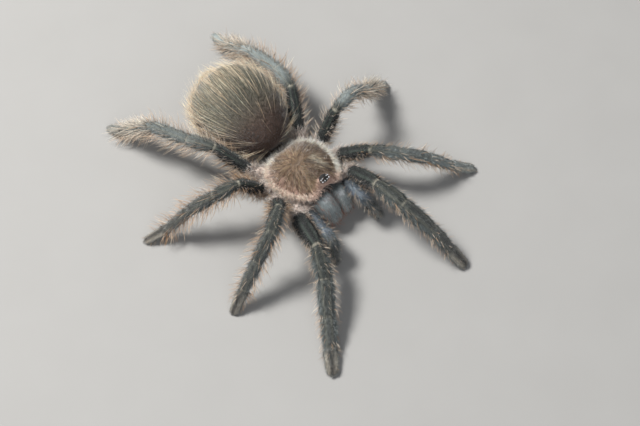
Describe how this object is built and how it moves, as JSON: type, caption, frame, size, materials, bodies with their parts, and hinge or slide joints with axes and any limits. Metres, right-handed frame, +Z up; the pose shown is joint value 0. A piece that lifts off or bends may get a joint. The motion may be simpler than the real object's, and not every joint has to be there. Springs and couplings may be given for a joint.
{
  "type": "tarantula",
  "caption": "Tarantula standing still, as a life-size museum model: hairy domed carapace, big round abdomen, stout bristly legs spread wide, feelers held down beside the jaws.",
  "frame": {"origin": "on the floor, below the middle of the whole stance out to the feet", "axes": "+Z up, -Y the way the animal faces, +X the animal's left"},
  "size_m": [0.076, 0.0936, 0.0203],
  "materials": {
    "leg": "velvety dark grey-green hair with paler bristles",
    "shield": "flat golden-brown hair with a pale fringe",
    "belly": "short dark brown hair",
    "abdomen": "dark velvet under long combed cream hair",
    "jaw": "blue-grey velvet with pale streaks",
    "fang": "polished black",
    "eye": "glossy black beads on a dark mound"
  },
  "bodies": {
    "root": {"abdomen": "abdomen", "carapace": "shield", "chelicera_left": "jaw", "chelicera_right": "jaw", "eye_tubercle": "eye", "fang_left": "fang", "fang_right": "fang", "leg_left_1_femur": "leg", "leg_left_1_metatarsus": "leg", "leg_left_1_patella": "leg", "leg_left_1_tarsus": "leg", "leg_left_1_tibia": "leg", "leg_left_2_femur": "leg", "leg_left_2_metatarsus": "leg", "leg_left_2_patella": "leg", "leg_left_2_tarsus": "leg", "leg_left_2_tibia": "leg", "leg_left_3_femur": "leg", "leg_left_3_metatarsus": "leg", "leg_left_3_patella": "leg", "leg_left_3_tarsus": "leg", "leg_left_3_tibia": "leg", "leg_left_4_femur": "leg", "leg_left_4_metatarsus": "leg", "leg_left_4_patella": "leg", "leg_left_4_tarsus": "leg", "leg_left_4_tibia": "leg", "leg_right_1_femur": "leg", "leg_right_1_metatarsus": "leg", "leg_right_1_patella": "leg", "leg_right_1_tarsus": "leg", "leg_right_1_tibia": "leg", "leg_right_2_femur": "leg", "leg_right_2_metatarsus": "leg", "leg_right_2_patella": "leg", "leg_right_2_tarsus": "leg", "leg_right_2_tibia": "leg", "leg_right_3_femur": "leg", "leg_right_3_metatarsus": "leg", "leg_right_3_patella": "leg", "leg_right_3_tarsus": "leg", "leg_right_3_tibia": "leg", "leg_right_4_femur": "leg", "leg_right_4_metatarsus": "leg", "leg_right_4_patella": "leg", "leg_right_4_tarsus": "leg", "leg_right_4_tibia": "leg", "palp_left_femur": "leg", "palp_left_patella": "leg", "palp_left_tarsus": "leg", "palp_left_tibia": "leg", "palp_right_femur": "leg", "palp_right_patella": "leg", "palp_right_tarsus": "leg", "palp_right_tibia": "leg", "pedicel": "belly", "spinneret_left": "leg", "spinneret_right": "leg", "underside": "belly"}
  },
  "joints": []
}
